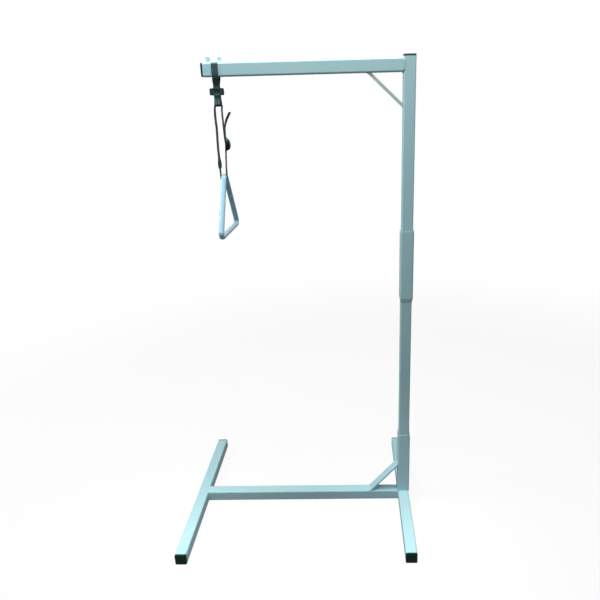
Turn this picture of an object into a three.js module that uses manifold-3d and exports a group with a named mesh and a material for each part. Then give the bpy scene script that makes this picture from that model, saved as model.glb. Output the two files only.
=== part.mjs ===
// A free-standing bed trapeze. A tube base on the floor carries a square mast in two lengths, joined by a
// sleeve. An arm reaches out from the mast's top, and a webbing sling on it carries a triangular hand grip.
// Millimetres, +Z up. The origin is on the floor under the mast's axis, and the arm reaches along -X.
import * as THREE from 'three';
import * as BufferGeometryUtils from 'three/addons/utils/BufferGeometryUtils.js';
import Module from 'manifold-3d';

const wasm = await Module();
wasm.setup();

// Base and arm tube, square with round corners
const TUBE = 40;
const TUBE_WALL = 2;
const TUBE_RADIUS = 5;
const BASE_SPACING = 789;
const CROSSBAR_LENGTH = 678;

// Mast tube and the larger tube of the socket and the sleeve
const POST = 38;
const POST_WALL = 2;
const POST_RADIUS = 4;
const COLLAR = 45;
const COLLAR_WALL = 3;
const COLLAR_RADIUS = 6;
const SOCKET_LENGTH = 251;
const SLEEVE_FOOT_Z = 826;
const SLEEVE_LENGTH = 247;
const SLEEVE_TAPER = 14;
const SLEEVE_TAPER_CLEARANCE = 0.25;
const POST_JOINT_Z = 950;
const POST_SEAT_GAP = 0.3;

// Arm, and how far the mast's tube stands above it
const ARM_TOP_Z = 1604;
const ARM_END_X = -625;
const POST_STAND = 4;

// Flat-bar braces
const UPPER_BRACE_WIDTH = 30;
const UPPER_BRACE_THICK = 8;
const UPPER_BRACE_RUN = 109;
const UPPER_BRACE_DROP = 102;
const LOWER_BRACE_WIDTH = 38;
const LOWER_BRACE_THICK = 6;
const LOWER_BRACE_RUN = 107.5;
const LOWER_BRACE_RISE = 121;

// End plugs
const PLUG_FLANGE = 6;
const PLUG_EDGE = 1.1;
const PLUG_INSET = 0.2;
const PLUG_SHANK = 18;
const PLUG_SHANK_WALL = 2.4;
const PLUG_SHANK_INSET = 2.2;
const PLUG_FIN_THICK = 1.4;
const PLUG_FIN_PITCH = 5;
const PLUG_FIN_COUNT = 3;
const PLUG_CLEARANCE = 0.3;

// Pegs on the arm that keep the sling in place
const OUTER_PEG_RADIUS = 6.5;
const OUTER_PEG_WELD = 3;
const OUTER_PEG_GAP = 0.5;
const INNER_PEG_RADIUS = 5;
const INNER_PEG_GAP = 0.3;
const PEG_HEIGHT = 16.5;
const PEG_CHAMFER = 1.2;

// Sling webbing. The hanger hangs from the arm, and the grip strap from the hanger.
const SLING_X = -591;
const WEB_WIDTH = 20;
const WEB_THICK = 1.8;
const WEB_GAP = 0.3;
const HANGER_DROP = 126;
const HANGER_BEND = 3;
const HANGER_FOOT_SLACK = 1.3;
const STRAP_DROP = 188;
const STRAP_BEND = 1.5;
const BIGHT_WIDTH = 14;
const BIGHT_BEND = 4;

// Slide buckle on the front leg of the hanger
const BUCKLE_DROP = 82.5;
const BUCKLE_WIDTH = 45;
const BUCKLE_HEIGHT = 21;
const BUCKLE_THICK = 2.4;
const BUCKLE_BAR = 3.2;
const BUCKLE_CORNER = 3;
const BUCKLE_EDGE = 0.5;
const BUCKLE_Y = -4;
const THREAD_SLACK = 0.7;
const THREAD_LEAD = 11;

// Strap adjuster and its loose tail
const ADJUSTER_DROP = 133.5;
const ADJUSTER_HEIGHT = 25.5;
const ADJUSTER_DEPTH = 16.5;
const ADJUSTER_CHEEK = 2.8;
const ADJUSTER_BAR = 7.4;
const ADJUSTER_BEVEL = 0.8;
const TAIL_HOLD = 14;
const TAIL_RISE = 91;
const TAIL_REACH = 20.5;

// Hand grip
const GRIP_DROP = 17;
const GRIP_HEIGHT = 193;
const GRIP_HALF_ANGLE = 31.5;
const GRIP_THICK = 16;
const GRIP_DEPTH = 19;
const GRIP_EDGE_RADIUS = 5;
const GRIP_TOP_RADIUS = 26;
const GRIP_CORNER_RADIUS = 20;
const GRIP_LEAN = 3;

// Facets
const CORNER_STEPS = 4;
const SHANK_STEPS = 2;
const BEND_STEPS = 5;
const ROUND_STEPS = 24;
const GRIP_STEPS = 10;

const OVERRUN = 1;

// Heights that follow the arm's
const postTopZ = ARM_TOP_Z + POST_STAND;
const buckleZ = ARM_TOP_Z - BUCKLE_DROP;
const hangerFootZ = ARM_TOP_Z - HANGER_DROP;
const adjusterFootZ = hangerFootZ - ADJUSTER_DROP;
const strapFootZ = hangerFootZ - STRAP_DROP;
const gripTopZ = strapFootZ - GRIP_DROP;

const FRAME_PAINT = new THREE.MeshStandardMaterial({ color: 0xa9c2c6, roughness: 0.38, metalness: 0.15 });
const PLUG_PLASTIC = new THREE.MeshStandardMaterial({ color: 0x20292a, roughness: 0.55, metalness: 0 });
const WEBBING = new THREE.MeshStandardMaterial({ color: 0x2c4243, roughness: 0.85, metalness: 0 });
const BUCKLE_PLASTIC = new THREE.MeshStandardMaterial({ color: 0x1d2a29, roughness: 0.45, metalness: 0 });
const GRIP_PLASTIC = new THREE.MeshStandardMaterial({ color: 0xbfe0ee, roughness: 0.35, metalness: 0 });

const group = new THREE.Group();

// Adds a named mesh to the object.
function add(name, geometry, material) {
  const mesh = new THREE.Mesh(geometry, material);
  mesh.name = name;
  group.add(mesh);
  return mesh;
}

// Turns a closed geometry into a manifold solid.
function toSolid(geometry) {
  const bare = geometry.index ? geometry.toNonIndexed() : geometry.clone();
  bare.deleteAttribute('normal');
  bare.deleteAttribute('uv');
  const merged = BufferGeometryUtils.mergeVertices(bare);
  const mesh = new wasm.Mesh({
    numProp: 3,
    vertProperties: new Float32Array(merged.attributes.position.array),
    triVerts: new Uint32Array(merged.index.array),
  });
  return new wasm.Manifold(mesh);
}

// Turns a manifold solid back into a geometry.
function toGeometry(solid) {
  const mesh = solid.getMesh();
  const geometry = new THREE.BufferGeometry();
  geometry.setAttribute('position', new THREE.BufferAttribute(mesh.vertProperties, 3));
  geometry.setIndex(new THREE.BufferAttribute(mesh.triVerts, 1));
  geometry.computeVertexNormals();
  return geometry;
}

// Joins the first geometry with the added ones and takes the cut ones away.
function combine(base, added, cut) {
  let solid = toSolid(base);
  for (const piece of added) solid = solid.add(toSolid(piece));
  for (const piece of cut) solid = solid.subtract(toSolid(piece));
  return toGeometry(solid);
}

// A rectangle with round corners, centred on the axis.
function roundRectangle(width, height, radius, outline = new THREE.Shape()) {
  const flatX = width / 2 - radius;
  const flatY = height / 2 - radius;
  outline.absarc(flatX, flatY, radius, 0, Math.PI / 2);
  outline.absarc(-flatX, flatY, radius, Math.PI / 2, Math.PI);
  outline.absarc(-flatX, -flatY, radius, Math.PI, Math.PI * 3 / 2);
  outline.absarc(flatX, -flatY, radius, Math.PI * 3 / 2, Math.PI * 2);
  outline.closePath();
  return outline;
}

// A square with round corners, centred on the axis.
function squareOutline(side, radius, outline) {
  return roundRectangle(side, side, radius, outline);
}

// A square tube along +Z, from zero to its length.
function squareTube(side, wall, radius, length) {
  const outline = squareOutline(side, radius);
  outline.holes.push(squareOutline(side - wall * 2, radius - wall, new THREE.Path()));
  return new THREE.ExtrudeGeometry(outline, {
    depth: length, bevelEnabled: false, curveSegments: CORNER_STEPS,
  });
}

// A solid square bar along +Z, from zero to its length.
function squareBar(side, radius, length, steps = CORNER_STEPS) {
  return new THREE.ExtrudeGeometry(squareOutline(side, radius), {
    depth: length, bevelEnabled: false, curveSegments: steps,
  });
}

// A plain block between two corners.
function block(low, high) {
  const size = high.clone().sub(low);
  const box = new THREE.BoxGeometry(size.x, size.y, size.z);
  const middle = low.clone().add(high).multiplyScalar(1 / 2);
  return box.translate(middle.x, middle.y, middle.z);
}

// A flat outline drawn in X and Z, given its width along Y about a middle plane.
function plateAcross(shape, width, middle, bevel = 0) {
  const geometry = new THREE.ExtrudeGeometry(shape, {
    depth: width - bevel * 2,
    bevelEnabled: bevel > 0,
    bevelThickness: bevel,
    bevelSize: bevel,
    bevelOffset: -bevel,
    bevelSegments: 2,
    curveSegments: BEND_STEPS,
  });
  geometry.rotateX(Math.PI / 2);
  return geometry.translate(0, middle + width / 2 - bevel, 0);
}

// A flat outline drawn in Y and Z, given its width along X about a middle plane.
function plateAlong(shape, width, middle) {
  const geometry = new THREE.ExtrudeGeometry(shape, {
    depth: width, bevelEnabled: false, curveSegments: BEND_STEPS,
  });
  geometry.rotateX(Math.PI / 2).rotateZ(Math.PI / 2);
  return geometry.translate(middle - width / 2, 0, 0);
}

// The points of a curve moved sideways by a distance, to the left of its direction.
function offsetPoints(points, distance, closed) {
  const count = points.length;
  return points.map((point, i) => {
    const before = closed ? points[(i + count - 1) % count] : points[Math.max(i - 1, 0)];
    const after = closed ? points[(i + 1) % count] : points[Math.min(i + 1, count - 1)];
    const along = after.clone().sub(before).normalize();
    return new THREE.Vector2(point.x - along.y * distance, point.y + along.x * distance);
  });
}

// Drops points that repeat the one before them.
function distinct(points) {
  return points.filter((point, i) => i === 0 || point.distanceTo(points[i - 1]) > WEB_GAP / 2);
}

// A closed band of webbing seen on its edge.
function closedBand(points, thick) {
  const shape = new THREE.Shape(offsetPoints(points, -thick / 2, true));
  shape.holes.push(new THREE.Path(offsetPoints(points, thick / 2, true)));
  return shape;
}

// An open band of webbing seen on its edge, cut square at both ends.
function openBand(points, thick) {
  const left = offsetPoints(points, thick / 2, false);
  const right = offsetPoints(points, -thick / 2, false).reverse();
  return new THREE.Shape([...left, ...right]);
}

// A closed body through rings of points, where the last ring joins the first.
function sweptRing(rings) {
  const sides = rings[0].length;
  const indices = [];
  rings.forEach((ring, i) => {
    const next = (i + 1) % rings.length;
    for (let j = 0; j < sides; j += 1) {
      const after = (j + 1) % sides;
      const [a, b, c, d] = [i * sides + j, i * sides + after, next * sides + after, next * sides + j];
      indices.push(a, c, b, a, d, c);
    }
  });
  const geometry = new THREE.BufferGeometry().setFromPoints(rings.flat());
  geometry.setIndex(indices);
  geometry.computeVertexNormals();
  return geometry;
}

// A push-in end plug. Its flange lies below zero and its ribbed shank runs along +Z into the tube.
function plug(side, wall, radius) {
  const flange = new THREE.ExtrudeGeometry(squareOutline(side - PLUG_INSET * 2, radius - PLUG_INSET), {
    depth: PLUG_FLANGE,
    bevelThickness: PLUG_EDGE,
    bevelSize: PLUG_EDGE,
    bevelOffset: -PLUG_EDGE,
    bevelSegments: 2,
    curveSegments: SHANK_STEPS + 1,
  });
  flange.translate(0, 0, PLUG_EDGE - PLUG_FLANGE);
  const above = block(new THREE.Vector3(-side, -side, 0), new THREE.Vector3(side, side, side));
  const finSide = side - wall * 2 - PLUG_CLEARANCE * 2;
  const finRadius = radius - wall;
  const shankSide = finSide - PLUG_SHANK_INSET * 2;
  const shank = squareBar(shankSide, finRadius, PLUG_SHANK + PLUG_EDGE, SHANK_STEPS);
  shank.translate(0, 0, -PLUG_EDGE);
  const hollowSide = shankSide - PLUG_SHANK_WALL * 2;
  const hollow = squareBar(hollowSide, finRadius / 2, PLUG_SHANK + OVERRUN, SHANK_STEPS);
  const fins = [];
  for (let i = 1; i <= PLUG_FIN_COUNT; i += 1) {
    const fin = squareBar(finSide, finRadius, PLUG_FIN_THICK, SHANK_STEPS);
    fins.push(fin.translate(0, 0, PLUG_FIN_PITCH * i - PLUG_FIN_THICK));
  }
  const cap = combine(flange, [], [above]);
  return combine(cap, [shank, ...fins], [hollow]);
}

// Base frame: two crossbars lie on the floor, and a stringer joins their middles.
const tubeHalf = TUBE / 2;
const crossbarTube = () => squareTube(TUBE, TUBE_WALL, TUBE_RADIUS, CROSSBAR_LENGTH)
  .rotateX(Math.PI / 2).translate(0, CROSSBAR_LENGTH / 2, tubeHalf);
add('right_crossbar', crossbarTube(), FRAME_PAINT);
add('left_crossbar', crossbarTube(), FRAME_PAINT).position.x = -BASE_SPACING;

const stringer = squareTube(TUBE, TUBE_WALL, TUBE_RADIUS, BASE_SPACING - TUBE);
stringer.rotateY(-Math.PI / 2).translate(-tubeHalf, 0, tubeHalf);
add('stringer', stringer, FRAME_PAINT);

for (const [name, x] of [['right', 0], ['left', -BASE_SPACING]]) {
  const front = plug(TUBE, TUBE_WALL, TUBE_RADIUS);
  front.rotateX(-Math.PI / 2).translate(x, -CROSSBAR_LENGTH / 2, tubeHalf);
  add(`${name}_front_plug`, front, PLUG_PLASTIC);
  const rear = plug(TUBE, TUBE_WALL, TUBE_RADIUS);
  rear.rotateX(Math.PI / 2).translate(x, CROSSBAR_LENGTH / 2, tubeHalf);
  add(`${name}_rear_plug`, rear, PLUG_PLASTIC);
}

// Socket: a short length of larger tube stands on the right crossbar and takes the mast's foot.
const socket = squareTube(COLLAR, COLLAR_WALL, COLLAR_RADIUS, SOCKET_LENGTH);
add('base_socket', socket.translate(0, 0, TUBE), FRAME_PAINT);

// A flat bar between a level face and an upright face, its ends cut flush with both.
// The corner is where the two faces meet; run and rise reach from it to the bar's outer face.
function slantedBar(corner, run, rise, thick) {
  const slope = Math.hypot(run, rise);
  const levelCut = thick * slope / Math.abs(rise);
  const uprightCut = thick * slope / run;
  const inward = Math.sign(rise);
  return new THREE.Shape([
    new THREE.Vector2(corner.x - run, corner.y),
    new THREE.Vector2(corner.x - run + levelCut, corner.y),
    new THREE.Vector2(corner.x, corner.y + rise - uprightCut * inward),
    new THREE.Vector2(corner.x, corner.y + rise),
  ]);
}

const lowerCorner = new THREE.Vector2(-COLLAR / 2, TUBE);
const lowerBrace = slantedBar(lowerCorner, LOWER_BRACE_RUN, LOWER_BRACE_RISE, LOWER_BRACE_THICK);
add('lower_brace', plateAcross(lowerBrace, LOWER_BRACE_WIDTH, 0), FRAME_PAINT);

// Lower mast: the tube stands in the socket, and the sleeve is welded on round its top.
const lowerPost = squareTube(POST, POST_WALL, POST_RADIUS, POST_JOINT_Z - TUBE - POST_SEAT_GAP);
add('lower_post', lowerPost.translate(0, 0, TUBE + POST_SEAT_GAP), FRAME_PAINT);

const sleeveOuter = new THREE.ExtrudeGeometry(squareOutline(COLLAR, COLLAR_RADIUS), {
  depth: SLEEVE_LENGTH,
  bevelThickness: SLEEVE_TAPER,
  bevelSize: COLLAR_WALL - SLEEVE_TAPER_CLEARANCE,
  bevelOffset: SLEEVE_TAPER_CLEARANCE - COLLAR_WALL,
  bevelSegments: 1,
  curveSegments: CORNER_STEPS,
});
sleeveOuter.translate(0, 0, SLEEVE_FOOT_Z + SLEEVE_TAPER);
const sleeveTop = SLEEVE_FOOT_Z + SLEEVE_LENGTH;
const sleeveTrim = block(
  new THREE.Vector3(-COLLAR, -COLLAR, sleeveTop),
  new THREE.Vector3(COLLAR, COLLAR, sleeveTop + COLLAR),
);
const boreSide = COLLAR - COLLAR_WALL * 2;
const sleeveBore = squareBar(boreSide, COLLAR_RADIUS - COLLAR_WALL, SLEEVE_LENGTH + OVERRUN * 2);
sleeveBore.translate(0, 0, SLEEVE_FOOT_Z - OVERRUN);
add('coupling_sleeve', combine(sleeveOuter, [], [sleeveTrim, sleeveBore]), FRAME_PAINT);

// Upper mast: the post drops into the sleeve, and the arm is welded to its side near the top.
const upperPostFoot = POST_JOINT_Z + POST_SEAT_GAP;
const upperPost = squareTube(POST, POST_WALL, POST_RADIUS, postTopZ - upperPostFoot);
add('upper_post', upperPost.translate(0, 0, upperPostFoot), FRAME_PAINT);

const armZ = ARM_TOP_Z - tubeHalf;
const arm = squareTube(TUBE, TUBE_WALL, TUBE_RADIUS, -POST / 2 - ARM_END_X);
add('arm', arm.rotateY(-Math.PI / 2).translate(-POST / 2, 0, armZ), FRAME_PAINT);

const upperCorner = new THREE.Vector2(-POST / 2, ARM_TOP_Z - TUBE);
const upperBrace = slantedBar(upperCorner, UPPER_BRACE_RUN, -UPPER_BRACE_DROP, UPPER_BRACE_THICK);
add('upper_brace', plateAcross(upperBrace, UPPER_BRACE_WIDTH, 0), FRAME_PAINT);

const postPlug = plug(POST, POST_WALL, POST_RADIUS).rotateX(Math.PI).translate(0, 0, postTopZ);
add('post_top_plug', postPlug, PLUG_PLASTIC);
const armPlug = plug(TUBE, TUBE_WALL, TUBE_RADIUS).rotateY(Math.PI / 2).translate(ARM_END_X, 0, armZ);
add('arm_end_plug', armPlug, PLUG_PLASTIC);

// Pegs: two short round bars welded on the arm, close to the sling's edges. The outer one has room for a
// weld all round.
function standingPeg(radius, foot, centreX) {
  const profile = [
    new THREE.Vector2(0, 0),
    ...foot,
    new THREE.Vector2(radius, PEG_HEIGHT - PEG_CHAMFER),
    new THREE.Vector2(radius - PEG_CHAMFER, PEG_HEIGHT),
    new THREE.Vector2(0, PEG_HEIGHT),
  ];
  const peg = new THREE.LatheGeometry(profile, ROUND_STEPS).rotateX(Math.PI / 2);
  return peg.translate(centreX, 0, ARM_TOP_Z);
}

const outerFoot = [
  new THREE.Vector2(OUTER_PEG_RADIUS + OUTER_PEG_WELD, 0),
  new THREE.Vector2(OUTER_PEG_RADIUS + OUTER_PEG_WELD / 3, OUTER_PEG_WELD / 3),
  new THREE.Vector2(OUTER_PEG_RADIUS, OUTER_PEG_WELD),
];
const outerPegX = SLING_X - WEB_WIDTH / 2 - OUTER_PEG_GAP - OUTER_PEG_WELD - OUTER_PEG_RADIUS;
const innerPegX = SLING_X + WEB_WIDTH / 2 + INNER_PEG_GAP + INNER_PEG_RADIUS;
add('outer_sling_peg', standingPeg(OUTER_PEG_RADIUS, outerFoot, outerPegX), FRAME_PAINT);
const innerFoot = [new THREE.Vector2(INNER_PEG_RADIUS, 0)];
add('inner_sling_peg', standingPeg(INNER_PEG_RADIUS, innerFoot, innerPegX), FRAME_PAINT);

// Hanger: a closed loop of webbing over the arm. Its front leg is threaded through the slide buckle, and
// its foot carries the grip strap.
const webHalf = WEB_THICK / 2;
const armSkin = WEB_GAP + webHalf;
const hangerSide = tubeHalf + armSkin;
const footSide = WEB_WIDTH / 2 + armSkin + HANGER_FOOT_SLACK;
const hangerFoot = hangerFootZ + webHalf;
const threadSide = BUCKLE_THICK / 2 + armSkin + THREAD_SLACK;
const barPitch = (BUCKLE_HEIGHT - BUCKLE_BAR) / 2;
const armFlat = tubeHalf - TUBE_RADIUS;
const armShoulder = ARM_TOP_Z - TUBE_RADIUS;
const hangerPath = new THREE.Path();
hangerPath.absarc(armFlat, armShoulder, TUBE_RADIUS + armSkin, 0, Math.PI / 2);
hangerPath.absarc(-armFlat, armShoulder, TUBE_RADIUS + armSkin, Math.PI / 2, Math.PI);
hangerPath.lineTo(-hangerSide, ARM_TOP_Z - TUBE);
const footFlat = footSide - HANGER_BEND;
const footShoulder = hangerFoot + HANGER_BEND;
hangerPath.splineThru([
  new THREE.Vector2(BUCKLE_Y - armSkin, buckleZ + barPitch + THREAD_LEAD),
  new THREE.Vector2(BUCKLE_Y + threadSide, buckleZ + barPitch),
  new THREE.Vector2(BUCKLE_Y - threadSide, buckleZ),
  new THREE.Vector2(BUCKLE_Y + threadSide, buckleZ - barPitch),
  new THREE.Vector2(BUCKLE_Y - armSkin, buckleZ - barPitch - THREAD_LEAD),
  new THREE.Vector2(-footSide, footShoulder + WEB_THICK),
]);
hangerPath.absarc(-footFlat, footShoulder, HANGER_BEND, Math.PI, Math.PI * 3 / 2);
hangerPath.absarc(footFlat, footShoulder, HANGER_BEND, -Math.PI / 2, 0);
hangerPath.splineThru([
  new THREE.Vector2(footSide, footShoulder + WEB_THICK),
  new THREE.Vector2(-BUCKLE_Y, buckleZ - barPitch),
  new THREE.Vector2(-BUCKLE_Y, buckleZ + barPitch),
  new THREE.Vector2(armSkin - BUCKLE_Y, buckleZ + barPitch + THREAD_LEAD),
  new THREE.Vector2(hangerSide, ARM_TOP_Z - TUBE),
]);
const hangerLine = distinct(hangerPath.getPoints(BEND_STEPS));
add('hanger_loop', plateAlong(closedBand(hangerLine, WEB_THICK), WEB_WIDTH, SLING_X), WEBBING);

// Slide buckle: a flat frame with three cross bars.
const buckleOutline = roundRectangle(BUCKLE_WIDTH, BUCKLE_HEIGHT, BUCKLE_CORNER);
const slotHalfWidth = WEB_WIDTH / 2 + WEB_GAP * 2;
const slotHalfHeight = (barPitch - BUCKLE_BAR) / 2;
for (const side of [-1, 1]) {
  const middle = barPitch / 2 * side;
  buckleOutline.holes.push(new THREE.Path([
    new THREE.Vector2(-slotHalfWidth, middle - slotHalfHeight),
    new THREE.Vector2(slotHalfWidth, middle - slotHalfHeight),
    new THREE.Vector2(slotHalfWidth, middle + slotHalfHeight),
    new THREE.Vector2(-slotHalfWidth, middle + slotHalfHeight),
  ]));
}
const buckle = plateAcross(buckleOutline, BUCKLE_THICK, BUCKLE_Y, BUCKLE_EDGE);
add('slide_buckle', buckle.translate(SLING_X, 0, buckleZ), BUCKLE_PLASTIC);

// Grip strap: an upside-down U of webbing through the hanger's foot, and a short bight of the same
// webbing under the grip's top. The grip hangs a little further out than the hanger.
const gripX = SLING_X - GRIP_LEAN;
const strapSide = WEB_WIDTH / 2 + armSkin;
const gripSide = GRIP_DEPTH / 2 + armSkin;
const strapTop = hangerFootZ + WEB_THICK + WEB_GAP + webHalf;
const strapShoulder = strapTop - STRAP_BEND;
const strapFlat = strapSide - STRAP_BEND;
const strapLine = new THREE.Path();
strapLine.moveTo(gripX + gripSide, strapFootZ);
strapLine.lineTo(SLING_X + strapSide, strapShoulder);
strapLine.absarc(SLING_X + strapFlat, strapShoulder, STRAP_BEND, 0, Math.PI / 2);
strapLine.absarc(SLING_X - strapFlat, strapShoulder, STRAP_BEND, Math.PI / 2, Math.PI);
strapLine.lineTo(gripX - gripSide, strapFootZ);
const strapBand = openBand(distinct(strapLine.getPoints(BEND_STEPS)), WEB_THICK);
add('grip_strap', plateAcross(strapBand, WEB_WIDTH, 0), WEBBING);

const gripInnerRadius = GRIP_TOP_RADIUS - GRIP_THICK;
const gripCentreZ = gripTopZ - GRIP_TOP_RADIUS;
const bightSeat = gripCentreZ + Math.sqrt(gripInnerRadius ** 2 - (BIGHT_WIDTH / 2) ** 2);
const bightShoulder = bightSeat - armSkin + BIGHT_BEND;
const bightTop = strapFootZ - WEB_GAP;
const bightFlat = gripSide - BIGHT_BEND;
const bightLine = new THREE.Path();
bightLine.moveTo(-gripSide, bightTop);
bightLine.lineTo(-gripSide, bightShoulder);
bightLine.absarc(-bightFlat, bightShoulder, BIGHT_BEND, Math.PI, Math.PI * 3 / 2);
bightLine.absarc(bightFlat, bightShoulder, BIGHT_BEND, -Math.PI / 2, 0);
bightLine.lineTo(gripSide, bightTop);
const bightBand = openBand(distinct(bightLine.getPoints(BEND_STEPS)), WEB_THICK);
add('grip_bight', plateAcross(bightBand, BIGHT_WIDTH, 0), WEBBING).position.x = gripX;

// Adjuster: a wedge-shaped ladder buckle on the strap's right side. The strap lies in its open back, and
// the tail comes up through a slot in its top.
const ADJUSTER_OUTLINE_SHARES = [
  [0, 0], [0.2, 0.02], [0.76, 0.18], [0.94, 0.52], [1, 0.74], [0.9, 0.92], [0.66, 1], [0, 1],
];
const strandX = (z) => THREE.MathUtils.mapLinear(
  z, strapFootZ, strapShoulder, gripX + gripSide, SLING_X + strapSide,
);
const adjusterTopZ = adjusterFootZ + ADJUSTER_HEIGHT;
const adjusterBack = strandX(adjusterFootZ) - armSkin;
const adjusterWidth = WEB_WIDTH + (WEB_GAP + ADJUSTER_CHEEK) * 2;
const wedge = new THREE.Shape(ADJUSTER_OUTLINE_SHARES.map(([across, up]) => new THREE.Vector2(
  adjusterBack + ADJUSTER_DEPTH * across, adjusterFootZ + ADJUSTER_HEIGHT * up,
)));
const slotWidth = WEB_WIDTH + WEB_GAP * 2;
const backSlot = new THREE.Shape([
  new THREE.Vector2(adjusterBack - OVERRUN, adjusterFootZ - OVERRUN),
  new THREE.Vector2(strandX(adjusterFootZ - OVERRUN) + armSkin, adjusterFootZ - OVERRUN),
  new THREE.Vector2(strandX(adjusterTopZ + OVERRUN) + armSkin, adjusterTopZ + OVERRUN),
  new THREE.Vector2(adjusterBack - OVERRUN, adjusterTopZ + OVERRUN),
]);
const tailX = strandX(adjusterTopZ) + armSkin + ADJUSTER_BAR + armSkin;
const tailSlot = block(
  new THREE.Vector3(tailX - armSkin, -slotWidth / 2, adjusterTopZ - TAIL_HOLD - WEB_GAP),
  new THREE.Vector3(tailX + armSkin, slotWidth / 2, adjusterTopZ + OVERRUN),
);
const wedgeBody = plateAcross(wedge, adjusterWidth, 0, ADJUSTER_BEVEL);
const adjuster = combine(wedgeBody, [], [plateAcross(backSlot, slotWidth, 0), tailSlot]);
add('strap_adjuster', adjuster, BUCKLE_PLASTIC);

// Tail: the strap's free end comes up out of the adjuster, folds back to the strap, lies along it and
// curls away.
const TAIL_FOLD_SHARES = [[1, 0.04], [0.86, 0.11], [0.38, 0.21], [0.04, 0.32]];
const TAIL_CURL_SHARES = [[0, 0.5], [0.03, 0.6], [0.24, 0.75], [0.58, 0.89], [1, 1]];
const tailPoint = (reach, up) => {
  const z = adjusterTopZ + TAIL_RISE * up;
  return new THREE.Vector2(strandX(z) + WEB_THICK + WEB_GAP + reach, z);
};
const foldReach = tailX - strandX(adjusterTopZ) - WEB_THICK - WEB_GAP;
const tailLine = new THREE.Path();
tailLine.moveTo(tailX, adjusterTopZ - TAIL_HOLD);
tailLine.lineTo(tailX, adjusterTopZ);
tailLine.splineThru([
  ...TAIL_FOLD_SHARES.map(([across, up]) => tailPoint(foldReach * across, up)),
  ...TAIL_CURL_SHARES.map(([across, up]) => tailPoint(TAIL_REACH * across, up)),
]);
const tailBand = openBand(distinct(tailLine.getPoints(BEND_STEPS)), WEB_THICK);
add('strap_tail', plateAcross(tailBand, WEB_WIDTH, 0), WEBBING);

// Grip: a closed ring with a rounded section, swept round three bends of a triangle in Y and Z. A bend is
// seen from its centre, and each of its angles gives one ring of points.
const gripAngle = THREE.MathUtils.degToRad(GRIP_HALF_ANGLE);
const gripPeakZ = gripCentreZ + GRIP_TOP_RADIUS / Math.sin(gripAngle);
const gripFootZ = gripTopZ - GRIP_HEIGHT;
const gripFootHalf = (gripPeakZ - gripFootZ) * Math.tan(gripAngle);
const cornerY = gripFootHalf - GRIP_CORNER_RADIUS / Math.tan(Math.PI / 4 - gripAngle / 2);
const cornerZ = gripFootZ + GRIP_CORNER_RADIUS;
const gripBends = [
  { y: 0, z: gripCentreZ, radius: GRIP_TOP_RADIUS, from: Math.PI - gripAngle, to: gripAngle },
  { y: cornerY, z: cornerZ, radius: GRIP_CORNER_RADIUS, from: gripAngle, to: -Math.PI / 2 },
  { y: -cornerY, z: cornerZ, radius: GRIP_CORNER_RADIUS, from: -Math.PI / 2, to: -Math.PI - gripAngle },
];
const gripSection = roundRectangle(GRIP_DEPTH, GRIP_THICK, GRIP_EDGE_RADIUS).getPoints(CORNER_STEPS);
const gripRings = gripBends.flatMap(({ y, z, radius, from, to }) => {
  const rings = [];
  for (let i = 0; i <= GRIP_STEPS; i += 1) {
    const angle = THREE.MathUtils.lerp(from, to, i / GRIP_STEPS);
    rings.push(gripSection.slice(0, -1).map((point) => {
      const out = radius - GRIP_THICK / 2 + point.y;
      return new THREE.Vector3(gripX + point.x, y + out * Math.cos(angle), z + out * Math.sin(angle));
    }));
  }
  return rings;
});
add('hand_grip', sweptRing(gripRings), GRIP_PLASTIC);

export default group;
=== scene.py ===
"""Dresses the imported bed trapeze: painted steel tube, black plugs, a webbing sling and a pale hand grip.

Metres, +Z up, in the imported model's own frame. The mast stands at X 0, the arm reaches along -X, and the
viewer stands on the -Y side.
"""

import logging
import math
from collections.abc import Callable, Iterator, Sequence
from contextlib import contextmanager
from dataclasses import dataclass, field
from enum import Enum
from functools import cached_property

import bpy
from mathutils import Matrix, Quaternion, Vector


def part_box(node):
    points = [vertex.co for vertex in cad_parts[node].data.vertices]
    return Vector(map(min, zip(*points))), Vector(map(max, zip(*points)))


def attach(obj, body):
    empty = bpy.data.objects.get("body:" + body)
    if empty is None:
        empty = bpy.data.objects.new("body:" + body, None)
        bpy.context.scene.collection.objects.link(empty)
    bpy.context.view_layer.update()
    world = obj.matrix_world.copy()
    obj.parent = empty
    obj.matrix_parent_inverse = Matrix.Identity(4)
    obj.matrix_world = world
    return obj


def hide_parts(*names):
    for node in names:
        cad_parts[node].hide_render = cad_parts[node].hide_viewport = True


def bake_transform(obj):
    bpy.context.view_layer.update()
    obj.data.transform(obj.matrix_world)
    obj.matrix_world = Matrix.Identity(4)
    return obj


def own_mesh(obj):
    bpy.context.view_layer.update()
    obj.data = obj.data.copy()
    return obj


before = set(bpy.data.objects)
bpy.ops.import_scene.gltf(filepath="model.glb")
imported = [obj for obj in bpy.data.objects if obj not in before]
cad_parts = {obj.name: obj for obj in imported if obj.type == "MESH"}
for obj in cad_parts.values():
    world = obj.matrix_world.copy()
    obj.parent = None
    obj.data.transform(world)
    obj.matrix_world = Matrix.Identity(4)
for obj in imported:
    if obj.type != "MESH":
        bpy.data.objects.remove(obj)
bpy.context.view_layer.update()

LOG = logging.getLogger("bed_trapeze")

Colour = tuple[float, float, float]
Point = tuple[float, float, float]
Pair = tuple[float, float]
Table = tuple[Pair, ...]
Piece = bpy.types.Object
Material = bpy.types.Material

RIGHT = Vector((1, 0, 0))
BACK = Vector((0, 1, 0))
UP = Vector((0, 0, 1))


def held(share: float) -> float:
    """A share held between 0 and 1."""
    return min(1.0, max(0.0, share))


def steps(first: float, last: float, parts: int) -> list[float]:
    """Even steps from one number to another, both kept."""
    return [first + (last - first) * i / parts for i in range(parts + 1)]


def eased(share: float) -> float:
    """A share held between 0 and 1, with a soft start and end."""
    return held(share) ** 2 * (3 - 2 * held(share))


# Shader nodes


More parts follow.
